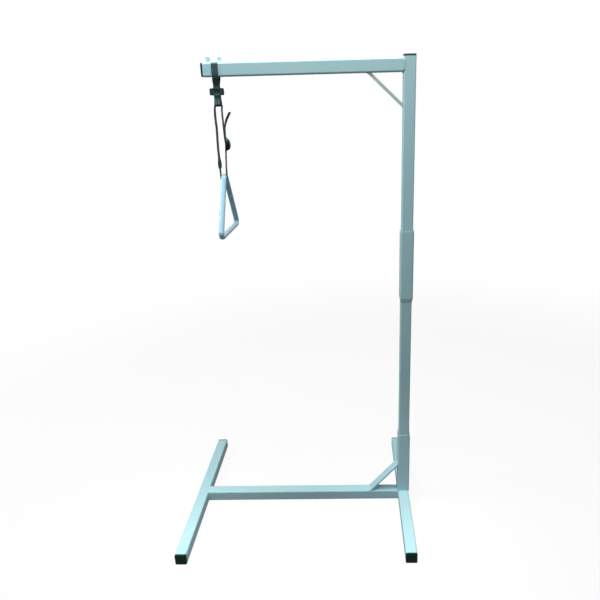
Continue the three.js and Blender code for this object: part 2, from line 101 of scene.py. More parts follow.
def operator(operation: str, turned: bool = False) -> Callable[..., "Value"]:
    """Makes a method of Value that adds one Math node, the other number its upper input where turned."""

    def method(value: "Value", other: object = 0.0) -> "Value":
        """Adds the node."""
        inputs = {0: other, 1: value} if turned else {0: value, 1: other}
        return value.shader.node("Math", {"operation": operation}, inputs)

    return method


@dataclass(frozen=True)
class Value:
    """A node's output that takes part in sums, each sum adding its Math node."""

    shader: "Shader"
    socket: bpy.types.NodeSocket | None

    __add__ = operator("ADD")
    __radd__ = operator("ADD", turned=True)
    __sub__ = operator("SUBTRACT")
    __rsub__ = operator("SUBTRACT", turned=True)
    __mul__ = operator("MULTIPLY")
    __rmul__ = operator("MULTIPLY", turned=True)
    __abs__ = operator("ABSOLUTE")
    sine = operator("SINE")

    def wave(self, pitch: float) -> "Value":
        """The sine of this length, one turn for each pitch."""
        return (self * (2 * math.pi / pitch)).sine()

    def smooth(self, low: float, high: float) -> "Value":
        """Goes smoothly from 0 to 1 between two limits, or down where the first is the larger.

        Args:
            low: Where the result is 0.
            high: Where the result is 1.

        Returns:
            The eased share.
        """
        down = low > high
        inputs = {"Value": self, "From Min": min(low, high), "From Max": max(low, high)}
        inputs |= {"To Min": float(down), "To Max": float(not down)}
        return self.shader.node("MapRange", {"interpolation_type": "SMOOTHSTEP"}, inputs, "Result")


class Shader:
    """The node tree of a material or of the world."""

    def __init__(self, owner: bpy.types.ID) -> None:
        """Starts an empty tree.

        Args:
            owner: The material or the world.
        """
        owner.use_nodes = True
        self.owner = owner
        self.tree = owner.node_tree
        self.tree.nodes.clear()

    @cached_property
    def place(self) -> Value:
        """The object's coordinates, unless a finish puts another place here."""
        return self.node("TexCoord", output="Object")

    def node(
        self,
        kind: str,
        settings: dict[str, object] | None = None,
        inputs: dict[object, object] | None = None,
        output: object = 0,
    ) -> Value:
        """Adds any node.

        Args:
            kind: The node's type, without ShaderNode before it.
            settings: The node's own settings.
            inputs: Plain values or links of its sockets, by name or number.
            output: The socket that comes back, by name or number.

        Returns:
            The chosen output, or an empty Value from an output node.
        """
        node = self.tree.nodes.new("ShaderNode" + kind)
        for key, setting in (settings or {}).items():
            setattr(node, key, setting)
        for key, item in (inputs or {}).items():
            if isinstance(item, Value):
                self.tree.links.new(item.socket, node.inputs[key])
            else:
                node.inputs[key].default_value = item
        return Value(self, node.outputs[output] if node.outputs else None)

    def noise(self, scale: float, detail: float = 2.0, stretch: Point | None = None) -> Value:
        """Soft noise in the object's own space.

        Args:
            scale: Features to the metre.
            detail: How many finer layers it has.
            stretch: How much denser it is along each axis.

        Returns:
            A value round 0.5.
        """
        where = self.place
        if stretch:
            where = self.node("Mapping", inputs={"Vector": where, "Scale": stretch})
        inputs = {"Vector": where, "Scale": scale, "Detail": detail, "Roughness": 0.55}
        return self.node("TexNoise", inputs=inputs)

    def axis(self, name: str, of: Value | None = None) -> Value:
        """One coordinate of a place, the object's own by default."""
        return self.node("SeparateXYZ", inputs={0: of or self.place}, output=name)

    def mix(self, first: object, second: object, share: object) -> Value:
        """Goes from one colour to another, each plain or linked, by a share of the second."""
        first, second = (c if isinstance(c, Value) else (*c, 1.0) for c in (first, second))
        return self.node("Mix", {"data_type": "RGBA"}, {0: share, 6: first, 7: second}, output=2)

    def bump(self, height: Value, depth: float, strength: float) -> Value:
        """A normal bumped by a height from 0 to 1, where 1 is this depth in metres."""
        return self.node("Bump", inputs={"Height": height, "Distance": depth, "Strength": strength})

    def end(self, result: Value, kind: str = "OutputMaterial") -> None:
        """Ends the tree in its output node."""
        self.node(kind, inputs={"Surface": result})

    def surface(self, **inputs: object) -> Material:
        """Ends the tree in a Principled surface.

        Args:
            inputs: Its sockets by name, with _ for a space.

        Returns:
            The finished material.
        """
        sockets = {key.replace("_", " "): item for key, item in inputs.items()}
        self.end(self.node("BsdfPrincipled", inputs=sockets))
        return self.owner


# Finishes


class Slot(Enum):
    """The record's material slots, one named with each modelled piece."""

    PAINT = "frame_paint"
    WEBBING = "webbing"
    BUCKLE = "buckle_plastic"
    GRIP = "grip_plastic"


@dataclass(frozen=True)
class Finish:
    """A procedural finish for any number of pieces."""

    name: str

    def started(self) -> Shader:
        """Starts the material's nodes."""
        return Shader(bpy.data.materials.new(self.name))

    def build(self) -> Material:
        """Builds the material, in each finish's own way."""
        raise NotImplementedError


@dataclass(frozen=True)
class PowderCoat(Finish):
    """Semi-gloss pale blue-grey powder coat, with the paint worn along the rims that other tubes slide in."""

    name: str = "powder_coat"
    blue: Colour = (0.372, 0.604, 0.668)
    green: Colour = (0.392, 0.622, 0.645)
    scuff: Colour = (0.245, 0.375, 0.405)
    steel: Colour = (0.30, 0.33, 0.34)
    rims: tuple[float, ...] = ()
    rim_depth: float = 0.0035
    splash: float = 0.012

    def build(self) -> Material:
        """Builds the material.

        Returns:
            The material.
        """
        shader = self.started()
        height = shader.axis("Z")
        dust = shader.noise(60.0, 4.0)
        marks = shader.noise(34.0, 5.0, (1.0, 1.0, 0.25)).smooth(0.66, 0.74)
        near_floor = height.smooth(self.splash, 0.001) * 0.55
        colour = shader.mix(self.blue, self.green, shader.noise(5.0, 3.0).smooth(0.35, 0.65))
        colour = shader.mix(colour, self.scuff, marks * 0.35 + near_floor * dust.smooth(0.35, 0.7))
        metallic: object = 0.0
        for rim in self.rims:
            band = abs(height - rim).smooth(self.rim_depth, 0.0)
            chips = (shader.noise(420.0, 3.0) + band * 0.22).smooth(0.70, 0.76) * band.smooth(0.0, 0.2)
            colour = shader.mix(colour, self.steel, chips)
            metallic = chips * 0.85 + metallic
        return shader.surface(
            Base_Color=colour,
            Roughness=0.42 + 0.10 * dust + 0.16 * marks,
            Metallic=metallic,
            Normal=shader.bump(shader.noise(620.0, 1.0), 0.00006, 0.55),
            Specular_IOR_Level=0.32,
            Coat_Weight=0.04,
            Coat_Roughness=0.25,
        )


@dataclass(frozen=True)
class WeldPaint(Finish):
    """The same coat over a weld bead, with scale left along its ripples."""

    name: str = "weld_paint"
    colour: Colour = (0.390, 0.590, 0.630)
    scale: Colour = (0.235, 0.335, 0.355)

    def build(self) -> Material:
        """Builds the material.

        Returns:
            The material.
        """
        shader = self.started()
        patches = shader.noise(380.0, 4.0)
        return shader.surface(
            Base_Color=shader.mix(self.colour, self.scale, patches.smooth(0.58, 0.72) * 0.6),
            Roughness=0.40 + 0.2 * patches,
            Normal=shader.bump(shader.noise(900.0, 3.0), 0.0001, 0.6),
            Specular_IOR_Level=0.3,
            Coat_Weight=0.04,
            Coat_Roughness=0.28,
        )


@dataclass(frozen=True)
class MouldedPlastic(Finish):
    """Dark moulded plastic with a fine grain, worn lighter in places."""

    colour: Colour
    wear_and_highlight: Colour
    roughness: float
    sheen: float = 0.3
    grain: float = 1500.0

    def build(self) -> Material:
        """Builds the material.

        Returns:
            The material.
        """
        shader = self.started()
        rub = shader.noise(90.0, 4.0).smooth(0.48, 0.72)
        scratches = shader.noise(260.0, 2.0, (1.0, 0.12, 1.0)).smooth(0.68, 0.72)
        return shader.surface(
            Base_Color=shader.mix(self.colour, self.wear_and_highlight, rub * 0.7 + scratches * 0.3),
            Roughness=self.roughness + 0.16 * rub + 0.1 * scratches,
            Normal=shader.bump(shader.noise(self.grain), 0.00005, 0.5),
            Specular_IOR_Level=self.sheen,
        )


@dataclass(frozen=True)
class WovenWebbing(Finish):
    """Dark nylon webbing: lengthwise ribs crossed by the weft and denser edges, along the UV map."""

    name: str = "woven_webbing"
    thread: Colour = (0.033, 0.079, 0.078)
    gap: Colour = (0.018, 0.042, 0.043)
    faded: Colour = (0.058, 0.112, 0.108)
    edge_shade: Colour = (0.013, 0.029, 0.036)
    # Colour of the painted highlight where the webbing bends over the arm's top.
    wear_and_highlight: Colour = (0.34, 0.45, 0.47)
    pale: Colour = (0.320, 0.306, 0.300)
    shade: Colour = (0.004, 0.010, 0.013)
    fold_z: float = 1.6045
    fold_depth: float = 0.0045
    pale_z: Pair = (1.290, 1.342)
    pale_fade: Pair = (0.010, 0.008)
    pale_x: float = -0.592
    edge_band: Pair = (0.0022, 0.0014)
    foot_z: float = 1.479
    foot_band: tuple[float, ...] = (-0.006, -0.002, 0.002, 0.0045)
    width: float = 0.020
    rib: float = 0.0016
    weft: float = 0.0011

    def build(self) -> Material:
        """Builds the material.

        Returns:
            The material.
        """
        shader = self.started()
        shader.place = shader.node("Attribute", {"attribute_name": Ribbon.PLACE_NAME}, output="Vector")
        lie = shader.node("UVMap", {"uv_map": Ribbon.UV_NAME})
        across, along = shader.axis("X", lie), shader.axis("Y", lie)
        rib, height, half = across.wave(self.rib), shader.axis("Z"), self.width / 2
        weave = 0.5 + 0.25 * rib + 0.25 * rib * along.wave(self.weft)
        edge = abs(across - half).smooth(*(half - band for band in self.edge_band))
        weave = weave * (1.0 - 0.7 * edge) + edge * (0.45 + 0.08 * along.wave(self.weft * 2))
        fade = shader.noise(45.0, 4.0).smooth(0.42, 0.70)
        (low, high), (soft_low, soft_high) = self.pale_z, self.pale_fade
        lower = height.smooth(high, high - soft_high) * height.smooth(low - soft_low, low + soft_low)
        on_right = shader.axis("X").smooth(self.pale_x, self.pale_x + 0.003)
        below, lower_in, upper_in, above = (self.foot_z + shift for shift in self.foot_band)
        in_fold = height.smooth(above, upper_in) * height.smooth(below, lower_in)
        # Painted highlight: the webbing turns pale along its fold over the arm's top, standing in for light
        # on the bend.
        fold_highlight = height.smooth(self.fold_z - self.fold_depth, self.fold_z)
        colour: object = self.gap
        for tint, share in (
            (self.thread, weave.smooth(0.10, 0.62)),
            (self.faded, fade * weave.smooth(0.45, 0.95) * 0.5),
            (self.edge_shade, edge * 0.75),
            (self.pale, lower * on_right * 0.9),
            (self.shade, in_fold),
            (self.wear_and_highlight, fold_highlight * (0.7 + 0.3 * fade)),
        ):
            colour = shader.mix(colour, tint, share)
        return shader.surface(
            Base_Color=colour,
            Roughness=0.72 + 0.12 * fade,
            Normal=shader.bump(weave, 0.00014, 0.6),
            Sheen_Weight=0.10,
            Sheen_Roughness=0.45,
            Specular_IOR_Level=0.25,
        )


@dataclass(frozen=True)
class StitchThread(Finish):
    """Twisted sewing thread, a shade lighter than the webbing."""

    name: str = "stitch_thread"
    colour: Colour = (0.070, 0.125, 0.120)
    shade: Colour = (0.025, 0.045, 0.045)
    ply: float = 0.0007

    def build(self) -> Material:
        """Builds the material.

        Returns:
            The material.
        """
        shader = self.started()
        ply = shader.axis("Z").wave(self.ply) * 0.5 + 0.5
        colour, normal = shader.mix(self.shade, self.colour, ply), shader.bump(ply, 0.00008, 0.8)
        return shader.surface(Base_Color=colour, Roughness=0.6 + 0.1 * ply, Normal=normal)


@dataclass(frozen=True)
class GripPlastic(Finish):
    """Pale blue smooth moulding, with its parting line and the dulling that hands leave on the bar."""

    name: str = "grip_moulding"
    colour: Colour = (0.270, 0.500, 0.650)
    cloudy: Colour = (0.290, 0.515, 0.640)
    soiled: Colour = (0.215, 0.350, 0.400)
    middle_x: float = -0.5920
    turn: float = math.radians(-1.3)
    parting: float = 0.00035

    def build(self) -> Material:
        """Builds the material.

        Returns:
            The material.
        """
        shader = self.started()
        cloud = shader.noise(26.0, 4.0)
        offset = shader.axis("X") - self.middle_x + shader.axis("Y") * math.tan(self.turn)
        line = abs(offset).smooth(self.parting, self.parting * 0.2)
        handled = shader.noise(70.0, 5.0).smooth(0.52, 0.75)
        colour = shader.mix(self.colour, self.cloudy, cloud.smooth(0.3, 0.7))
        return shader.surface(
            Base_Color=shader.mix(colour, self.soiled, handled * 0.14 + line * 0.22),
            Roughness=0.34 + 0.10 * cloud + 0.14 * handled,
            Normal=shader.bump(line, 0.00012, 0.5),
            Specular_IOR_Level=0.45,
            Coat_Weight=0.55,
            Coat_Roughness=0.16,
        )


def shelved(finish: Finish) -> Material:
    """A place on the shelf, filled when the shelf is made."""
    return field(default_factory=finish.build)


@dataclass
class FinishShelf:
    """Every finish built once, ready to be put on a piece."""

    paint: Material = shelved(PowderCoat())
    rim_paint: Material = shelved(PowderCoat("powder_coat_worn_rim", rims=(0.291, 1.073)))
    grey_paint: Material = shelved(
        PowderCoat("powder_coat_greyer", (0.430, 0.550, 0.525), (0.455, 0.565, 0.520))
    )
    weld: Material = shelved(WeldPaint())
    plug: Material = shelved(
        MouldedPlastic("plug_moulding", (0.005, 0.027, 0.014), (0.009, 0.040, 0.022), 0.55, sheen=0.1)
    )
    # The post's top plug takes a lighter plug colour: partly painted light on its upward-facing flange,
    # partly scuffing.
    top_plug: Material = shelved(
        MouldedPlastic("top_plug_moulding", (0.045, 0.080, 0.076), (0.057, 0.096, 0.090), 0.55, sheen=0.1)
    )
    buckle: Material = shelved(
        MouldedPlastic("buckle_moulding", (0.010, 0.034, 0.031), (0.018, 0.048, 0.043), 0.58)
    )
    adjuster: Material = shelved(
        MouldedPlastic("adjuster_moulding", (0.002, 0.0065, 0.005), (0.004, 0.011, 0.009), 0.68, sheen=0.08)
    )
    webbing: Material = shelved(WovenWebbing())
    thread: Material = shelved(StitchThread())
    grip: Material = shelved(GripPlastic())


# Modelling


def take(*pieces: Piece) -> None:
    """Leaves edit mode and selects these pieces alone.

    Args:
        pieces: The pieces, the last of them to be active.
    """
    if bpy.context.object and bpy.context.object.mode != "OBJECT":
        bpy.ops.object.mode_set(mode="OBJECT")
    bpy.ops.object.select_all(action="DESELECT")
    for piece in pieces:
        piece.select_set(True)
        bpy.context.view_layer.objects.active = piece


def named(name: str) -> Piece:
    """Names the piece that was just made, and its mesh."""
    bpy.context.object.name = bpy.context.object.data.name = name
    return bpy.context.object


@contextmanager
def shaping(
    piece: Piece, kind: str = "FACE", chosen: Callable[[object], bool] = lambda part: True
) -> Iterator[None]:
    """Opens a piece in edit mode with parts of its mesh selected, and closes it afterwards.

    Args:
        piece: The piece.
        kind: VERT, EDGE or FACE.
        chosen: Says whether a vertex, edge or polygon is selected.
    """
    take(piece)
    bpy.ops.object.mode_set(mode="EDIT")
    bpy.ops.mesh.select_mode(type=kind)
    bpy.ops.mesh.select_all(action="DESELECT")
    bpy.ops.object.mode_set(mode="OBJECT")
    mesh = piece.data
    parts = {"VERT": mesh.vertices, "EDGE": mesh.edges, "FACE": mesh.polygons}[kind]
    parts.foreach_set("select", [chosen(part) for part in parts])
    bpy.ops.object.mode_set(mode="EDIT")
    yield
    bpy.ops.object.mode_set(mode="OBJECT")


def way(piece: Piece, edge: bpy.types.MeshEdge) -> Vector:
    """The way from one end of an edge to the other."""
    first, second = (piece.data.vertices[i].co for i in edge.vertices)
    return second - first


def apply(piece: Piece, kind: str, **settings: object) -> None:
    """Adds a modifier and applies it.

    Args:
        piece: The piece.
        kind: The modifier's type.
        settings: The modifier's settings.
    """
    take(piece)
    modifier = piece.modifiers.new(kind.lower(), kind)
    for key, setting in settings.items():
        setattr(modifier, key, setting)
    bpy.ops.object.modifier_apply(modifier=modifier.name)


def bake_place() -> None:
    """Puts the active piece's place, turn and size into its mesh."""
    bpy.ops.object.transform_apply(location=True, rotation=True, scale=True)


def resize(x: float, y: float, z: float, centre: Point = (0, 0, 0)) -> None:
    """Resizes what is selected about a point."""
    bpy.ops.transform.resize(value=(x, y, z), center_override=centre)


def settle(piece: Piece, smooth_angle: float = 60.0) -> Piece:
    """Puts a piece's place into its mesh and smooths its round faces.

    Args:
        piece: The piece.
        smooth_angle: Faces that meet at less than this many degrees are shaded as one.

    Returns:
        The piece.
    """
    take(piece)
    bake_place()
    bpy.ops.object.shade_smooth_by_angle(angle=math.radians(smooth_angle))
    return piece


def stand(piece: Piece, place: Vector, turn: Quaternion, smooth_angle: float = 60.0) -> Piece:
    """Turns a piece, moves it to its place and settles it there.

    Args:
        piece: The piece.
        place: Where its middle goes.
        turn: How it is turned.
        smooth_angle: As in settle.

    Returns:
        The piece.
    """
    piece.rotation_mode = "QUATERNION"
    piece.rotation_quaternion = turn
    piece.location = place
    return settle(piece, smooth_angle)


def block(name: str, size: Point, centre: Point = (0, 0, 0)) -> Piece:
    """Adds a block to be shaped.

    Args:
        name: Its name.
        size: Its three sizes.
        centre: Its middle.

    Returns:
        The block, its place already in its mesh.
    """
    take()
    bpy.ops.mesh.primitive_cube_add(size=1, location=centre, scale=size)
    bake_place()
    return named(name)


def join(name: str, pieces: Sequence[Piece]) -> Piece:
    """Joins pieces into one.

    Args:
        name: The joined piece's name.
        pieces: The pieces.

    Returns:
        The joined piece.
    """
    take(*pieces)
    bpy.ops.object.join()
    return named(name)


def dress(piece: Piece, material: Material, slot: Slot, body: str | None = None, *replaced: str) -> Piece:
    """Gives a piece its finish and its body, and hides the CAD nodes that it stands for.

    Args:
        piece: The piece.
        material: Its finish.
        slot: The record's slot that the finish belongs to; not used.
        body: The CAD body that it rides on; none for a piece that spans two, which is left unattached.
        replaced: CAD nodes that it stands for.

    Returns:
        The piece.
    """
    piece.data.materials.clear()
    piece.data.materials.append(material)
    if body:
        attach(piece, body)
    if replaced:
        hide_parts(*replaced)
    LOG.info("%s: %d faces, %s", piece.name, len(piece.data.polygons), material.name)
    return piece


def repaint(material: Material, *nodes: str) -> None:
    """Gives CAD nodes a finish.

    Args:
        material: The finish.
        nodes: The nodes' names.
    """
    for name in nodes:
        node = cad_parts[name]
        node.data.materials.clear()
        node.data.materials.append(material)
        LOG.info("%s: carried over, %s", name, material.name)


@dataclass
class WeldBead:
    """A straight bead of weld with its ripples, laid in the corner between two faces."""

    start: Point
    end: Point
    radius: float
    waist: float = 0.84
    ripple: float = 0.0017
    sides: int = 10
    ends: Table = ((0, 0.45), (1, 0.86))

    @classmethod
    def across(cls, x: float, z: float, half: float, radius: float) -> "WeldBead":
        """A bead along Y, as far to the front as to the back."""
        return cls((x, -half, z), (x, half, z), radius)

    @classmethod
    def at_brace(cls, foot: Pair, face: Pair, over: Pair, half: float, radii: Pair) -> list["WeldBead"]:
        """Beads across a flat brace's two ends, one on each side of the bar.

        Args:
            foot: X and Z of its outer side at the level tube.
            face: X and Z of its outer side at the post.
            over: How far its other side is along the tube, and along the post.
            half: Half the beads' length.
            radii: The outer and the inner beads' radius.

        Returns:
            Four beads.
        """
        places = (foot, (foot[0] + over[0], foot[1]), face, (face[0], face[1] + over[1]))
        return [cls.across(x, z, half, radius) for (x, z), radius in zip(places, radii * 2)]

    def build(self) -> Piece:
        """Models the bead.

        Returns:
            The bead, in its place.
        """
        start, end = Vector(self.start), Vector(self.end)
        length = (end - start).length
        cuts = max(3, round(length / self.ripple)) | 1
        step = length / (cuts + 1)
        take()
        bpy.ops.mesh.primitive_cylinder_add(vertices=self.sides, radius=self.radius, depth=length)
        bead = named("bead")
        with shaping(bead, "EDGE", lambda edge: abs(way(bead, edge).z) > length / 2):
            bpy.ops.mesh.subdivide(number_cuts=cuts)
        with shaping(bead, "VERT", lambda v: round((v.co.z + length / 2) / step) % 2 == 1):
            resize(self.waist, self.waist, 1.0)
        for level, share in self.ends:
            reach = length / 2 - step * level - step / 4
            with shaping(bead, "VERT", lambda v: reach < abs(v.co.z) < reach + step):
                resize(share, share, 1.0)
        return stand(bead, (start + end) / 2, (end - start).to_track_quat("Z", "Y"))

    @staticmethod
    def lay(name: str, body: str, beads: Sequence["WeldBead"], material: Material) -> None:
        """Models and dresses the beads that ride on one body as one piece."""
        dress(join(name, [bead.build() for bead in beads]), material, Slot.PAINT, body)


def through(points: Sequence[Vector], parts: int = 16, spacing: float = 0.0015) -> list[Vector]:
    """A smooth line through points, evenly stepped.

    Args:
        points: The points in order.
        parts: The parts that each stretch is worked out in.
        spacing: The length of a step.

    Returns:
        The line's points.
    """
    dense: list[Vector] = []
    padded = [2 * points[0] - points[1], *points, 2 * points[-1] - points[-2]]
    for a, b, c, d in zip(padded, padded[1:], padded[2:], padded[3:]):
        for t in (i / parts for i in range(parts)):
            square, cube = 2 * a - 5 * b + 4 * c - d, 3 * b - a - 3 * c + d
            dense.append((2 * b + (c - a) * t + square * t**2 + cube * t**3) / 2)
    return even([*dense, points[-1]], spacing)


def even(dense: Sequence[Vector], spacing: float) -> list[Vector]:
    """Steps evenly along a line of many points.

    Args:
        dense: The line.
        spacing: The length of a step.

    Returns:
        Points at even steps, both ends kept.
    """
    total = sum((b - a).length for a, b in zip(dense, dense[1:]))
    count = max(2, round(total / spacing))
    result = [dense[0].copy()]
    travelled, wanted = 0.0, total / count
    for a, b in zip(dense, dense[1:]):
        length = (b - a).length
        while len(result) < count and travelled + length >= wanted:
            result.append(a.lerp(b, (wanted - travelled) / length))
            wanted = total * len(result) / count
        travelled += length
    return [*result, dense[-1].copy()]


def quarter(centre: Vector, radius: float, side: Vector, begin: float) -> list[Vector]:
    """Nine points on a quarter of an upright circle, from this many degrees above a level side."""
    angles = (math.radians(angle) for angle in steps(begin, begin + 90, 8))
    return [centre + (side * math.cos(a) + UP * math.sin(a)) * radius for a in angles]


@dataclass
class Ribbon:
    """A length of webbing laid flat along a line, with rounded edges and its own UV map in metres."""

    UV_NAME = "lie"
    PLACE_NAME = "rest_place"

    name: str
    line: list[Vector]
    across: Vector = BACK
    width: float = 0.020
    thickness: float = 0.0018
    closed: bool = False
    twist: Callable[[Vector], float] = lambda point: 0.0
    narrow: Callable[[Vector], float] = lambda point: 1.0
    cells: int = 8

    def build(self) -> Piece:
        """Models the webbing: a grid laid along the line, given its thickness and round edges.

        Returns:
            The piece.
        """
        rows = len(self.line) - 1
        take()
        bpy.ops.mesh.primitive_grid_add(x_subdivisions=self.cells, y_subdivisions=rows, size=1)
        strip = named(self.name)
        mesh = strip.data
        mesh.uv_layers[0].name = self.UV_NAME
        distances = [0.0]
        for a, b in zip(self.line, self.line[1:]):
            distances.append(distances[-1] + (b - a).length)
        lie = []
        for vertex in mesh.vertices:
            share, row = vertex.co.x, round((vertex.co.y + 0.5) * rows)
            lie.append(((share + 0.5) * self.width, distances[row]))
            vertex.co = self._place(row, share)
        for loop, entry in zip(mesh.loops, mesh.uv_layers[0].data):
            entry.uv = lie[loop.vertex_index]
        if self.closed:
            with shaping(strip):
                bpy.ops.mesh.remove_doubles(threshold=0.00002)
        apply(strip, "SOLIDIFY", thickness=self.thickness, offset=0.0, use_even_offset=True)
        rounding = {"width": self.thickness * 0.3, "segments": 2, "limit_method": "ANGLE"}
        apply(strip, "BEVEL", angle_limit=math.radians(55), **rounding)
        settle(strip, 50.0)
        places = strip.data.attributes.new(self.PLACE_NAME, "FLOAT_VECTOR", "POINT")
        for vertex, entry in zip(strip.data.vertices, places.data):
            entry.vector = vertex.co
        return strip

    def _place(self, row: int, share: float) -> Vector:
        """Where a point of the strip lies.

        Args:
            row: The step along the line.
            share: The place across, from -0.5 to 0.5.

        Returns:
            The point.
        """
        last = len(self.line) - 1
        before, after = max(row - 1, 0), min(row + 1, last)
        if self.closed:
            before, after = (row - 1) % last, (row + 1) % last
        along = (self.line[after] - self.line[before]).normalized()
        point = self.line[row]
        turn = Matrix.Rotation(math.radians(self.twist(point)), 3, along)
        return point + turn @ self.across * (self.width * self.narrow(point) * share)


@dataclass
class StitchBox:
    """A sewn box with a cross in it, its stitches lying on a flat face of the webbing."""

    name: str
    centre: Vector
    across: Vector
    along: Vector
    width: float = 0.012
    height: float = 0.011
    stitch: float = 0.0021
    pitch: float = 1.25
    thread: float = 0.00042
    pinch: float = 0.55

    def build(self) -> Piece:
        """Models the stitches along the box and its cross.

        Returns:
            All the stitches as one piece.
        """
        right, up = self.across * self.width / 2, self.along * self.height / 2
        corners = [self.centre + a * right + b * up for a, b in ((-1, -1), (1, -1), (1, 1), (-1, 1))]
        lines = [*zip(corners, corners[1:] + corners[:1]), (corners[0], corners[2]), (corners[1], corners[3])]
        pieces = []
        for start, end in lines:
            count = max(2, round((end - start).length / (self.stitch * self.pitch)))
            turn = (end - start).normalized().to_track_quat("Z", "Y")
            middles = (start.lerp(end, (i + 0.5) / count) for i in range(count))
            pieces += [stand(self._stitch(), middle, turn, 70.0) for middle in middles]
        return join(self.name, pieces)

    def _stitch(self) -> Piece:
        """Models a single stitch, thinner at both ends.

        Returns:
            The stitch.
        """
        take()
        bpy.ops.mesh.primitive_cylinder_add(vertices=6, radius=self.thread, depth=self.stitch)
        stitch = named("stitch")
        with shaping(stitch, "VERT", lambda v: abs(v.co.z) > self.stitch / 4):
            resize(self.pinch, self.pinch, 1.0)
        return stitch


# Sub-assemblies


@dataclass
class BaseFrame:
    """The H-shaped base on the floor, with its socket, brace, welds and end plugs."""

    tube: float = 0.040
    corner: float = 0.005
    spacing: float = 0.789
    socket: float = 0.045
    socket_corner: float = 0.0065
    brace_foot: float = -0.130
    brace_top: float = 0.161
    brace_half: float = 0.018
    brace_over: Pair = (0.0086, -0.0092)
    bead: float = 0.0028
    low_bead: float = 0.0026
    inner_bead: float = 0.0022
    outer_bead: float = 0.003
    outer_in: float = 0.0025
    outer_sink: float = 0.0022
    top_sink: float = 0.0023
    side_shift: float = 0.0008

    def build(self, shelf: FinishShelf) -> None:
        """Dresses the base.

        Args:
            shelf: The finishes.
        """
        repaint(shelf.paint, "right_crossbar", "left_crossbar", "stringer", "lower_brace")
        repaint(shelf.rim_paint, "base_socket")
        plugs = (f"{side}_{end}_plug" for side in ("right", "left") for end in ("front", "rear"))
        repaint(shelf.plug, *plugs)
        foot, face = (self.brace_foot, self.tube), (-self.socket / 2, self.brace_top)
        radii = (self.low_bead, self.inner_bead)
        beads = [
            *self._stringer_beads(-self.tube / 2, -1),
            *self._stringer_beads(self.tube / 2 - self.spacing, 1),
            *self._socket_beads(),
            *WeldBead.at_brace(foot, face, self.brace_over, self.brace_half, radii),
        ]
        WeldBead.lay("base_welds", "base", beads, shelf.weld)

    def _stringer_beads(self, x: float, away: int) -> list[WeldBead]:
        """Beads round the stringer's end at a crossbar.

        Args:
            x: The crossbar's side face.
            away: -1 where the stringer runs on towards -X, 1 towards +X.

        Returns:
            One bead over the top and one up each side.
        """
        low, high = self.corner, self.tube - self.corner
        shift, out = self.side_shift * away, self.tube / 2 + self.side_shift / 2
        flat, z = self.tube / 2 - self.corner, self.tube - self.top_sink
        top = WeldBead.across(x - shift, z, flat, self.low_bead)
        return [top, *[WeldBead((x + shift, y, low), (x + shift, y, high), self.bead) for y in (-out, out)]]

    def _socket_beads(self) -> list[WeldBead]:
        """Beads round the socket's foot.

        Returns:
            One along X at the front and the back, and one along Y on each side.
        """
        half, z, run = self.socket / 2, self.tube, self.tube / 2 - self.corner
        flat = half - self.socket_corner
        ends = [WeldBead((-run, y, z), (run, y, z), self.bead) for y in (-half, half)]
        outer = WeldBead.across(half - self.outer_in, z - self.outer_sink, flat, self.outer_bead)
        return [*ends, WeldBead.across(-half, z, flat, self.bead), outer]


